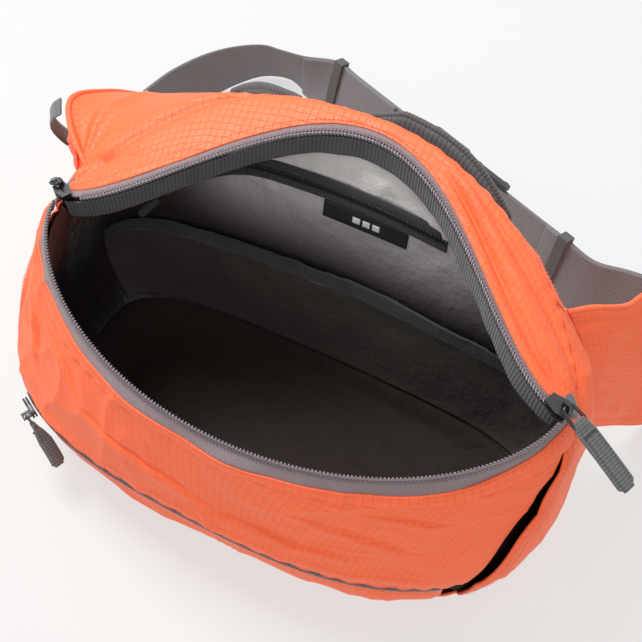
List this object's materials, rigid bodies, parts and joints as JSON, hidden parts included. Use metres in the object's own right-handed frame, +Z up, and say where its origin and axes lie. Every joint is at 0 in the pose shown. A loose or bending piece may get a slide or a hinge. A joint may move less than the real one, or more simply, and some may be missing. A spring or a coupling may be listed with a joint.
{
  "type": "lumbar daypack",
  "caption": "Open-topped fabric lumbar daypack with a curved mouth zip, grey lining, slip pockets, padded hip wings and a clipped waist belt.",
  "frame": {"origin": "the middle of the flat base, on the floor it stands on", "axes": "+X to the right of the pack seen from its front, -Y out of the front, +Y towards the wearer, +Z up"},
  "size_m": [0.6031, 0.4465, 0.2308],
  "materials": {
    "black_tape": "woven",
    "buckle_plastic": "matte",
    "elastic": "woven elastic",
    "label_rubber": "moulded",
    "lining_cloth": "satin weave",
    "mesh_pad": "air mesh",
    "orange_ripstop": "ripstop nylon",
    "pull_plastic": "satin",
    "ribbed_tape": "grosgrain",
    "slider_metal": "satin",
    "webbing": "woven webbing",
    "zip_tape": "woven",
    "zip_teeth": "satin"
  },
  "bodies": {
    "pack": {"back_panel": "orange_ripstop", "back_seam_binding": "ribbed_tape", "back_yoke": "orange_ripstop", "base_panel": "orange_ripstop", "belt_end_loop": "webbing", "belt_left": "webbing", "belt_right": "webbing", "belt_tail_left": "webbing", "belt_tail_right": "webbing", "buckle_female": "buckle_plastic", "front_mouth_band": "orange_ripstop", "front_panel": "orange_ripstop", "front_pocket_panel": "orange_ripstop", "inner_zip_tape": "black_tape", "inner_zip_teeth": "black_tape", "label": "label_rubber", "lining_back": "lining_cloth", "lining_base": "lining_cloth", "lining_crest": "lining_cloth", "lining_front": "lining_cloth", "lower_band_left": "orange_ripstop", "lower_band_right": "orange_ripstop", "lumbar_pad": "mesh_pad", "main_left_slider": "slider_metal", "main_right_slider": "slider_metal", "mouth_binding": "ribbed_tape", "pocket_zip_tape": "zip_tape", "pocket_zip_teeth": "zip_teeth", "side_pocket_left": "orange_ripstop", "side_pocket_right": "orange_ripstop", "side_wall_left": "orange_ripstop", "side_wall_right": "orange_ripstop", "slip_pocket": "lining_cloth", "slip_pocket_binding": "black_tape", "top_panel": "orange_ripstop", "wing_left": "orange_ripstop", "wing_loop_left": "webbing", "wing_right": "orange_ripstop", "zip_end_patch_left": "zip_tape", "zip_end_patch_right": "zip_tape", "zip_tape_back": "zip_tape", "zip_tape_front": "zip_tape", "zip_teeth_back": "zip_teeth", "zip_teeth_front": "zip_teeth"},
    "main_right_pull": {"main_right_pull_ring": "slider_metal", "main_right_pull_tab": "webbing"},
    "main_left_pull": {"main_left_pull_ring": "slider_metal", "main_left_pull_tab": "webbing"},
    "pocket_slider": {"pocket_slider": "pull_plastic"},
    "pocket_pull": {"pocket_pull_ring": "pull_plastic", "pocket_pull_tab": "webbing"},
    "inner_slider": {"inner_slider": "pull_plastic"},
    "inner_pull": {"inner_pull_ring": "pull_plastic", "inner_pull_tab": "black_tape"},
    "buckle_male": {"buckle_male": "buckle_plastic"},
    "keeper_left": {"keeper_left": "elastic"},
    "keeper_right": {"keeper_right": "elastic"},
    "grab_handle": {"grab_handle": "webbing"}
  },
  "joints": [
    {"name": "main_right_pull_swing", "type": "hinge", "parent": "pack", "child": "main_right_pull", "pos_m": [0.17394, -0.00405, 0.1929], "axis": [0.3294, 0.9442, 0], "range_deg": [-150, 8]},
    {"name": "main_left_pull_swing", "type": "hinge", "parent": "pack", "child": "main_left_pull", "pos_m": [-0.17489, -0.00112, 0.1917], "axis": [-0.4326, -0.9016, 0], "range_deg": [-140, 4]},
    {"name": "pocket_zip_run", "type": "hinge", "parent": "pack", "child": "pocket_slider", "pos_m": [-0.07697, 0.07776, 0.057], "axis": [0, 0, 1], "range_deg": [0, 19.5]},
    {"name": "pocket_pull_swing", "type": "hinge", "parent": "pocket_slider", "child": "pocket_pull", "pos_m": [-0.16196, -0.09991, 0.05622], "axis": [0.4699, -0.3676, 0.8025], "range_deg": [-120, 0]},
    {"name": "inner_zip_run", "type": "slide", "parent": "pack", "child": "inner_slider", "axis": [0.6792, 0.5741, 0.4573], "range_m": [0, 0.008]},
    {"name": "inner_pull_swing", "type": "hinge", "parent": "inner_slider", "child": "inner_pull", "pos_m": [-0.1347, 0.05001, 0.1494], "axis": [-0.4982, -0.0969, 0.8616], "range_deg": [-8, 95]},
    {"name": "buckle_release", "type": "slide", "parent": "pack", "child": "buckle_male", "axis": [0.9379, -0.347, 0], "range_m": [0, 0.024]},
    {"name": "keeper_left_slide", "type": "slide", "parent": "pack", "child": "keeper_left", "axis": [0.9379, -0.347, 0], "range_m": [0, 0.04]},
    {"name": "keeper_right_slide", "type": "slide", "parent": "pack", "child": "keeper_right", "axis": [0.9379, -0.347, 0], "range_m": [-0.018, 0]},
    {"name": "grab_handle_fold", "type": "hinge", "parent": "pack", "child": "grab_handle", "pos_m": [-0.11193, 0.10776, 0.20317], "axis": [0.9725, 0.1664, 0.1627], "range_deg": [-25, 6]}
  ]
}
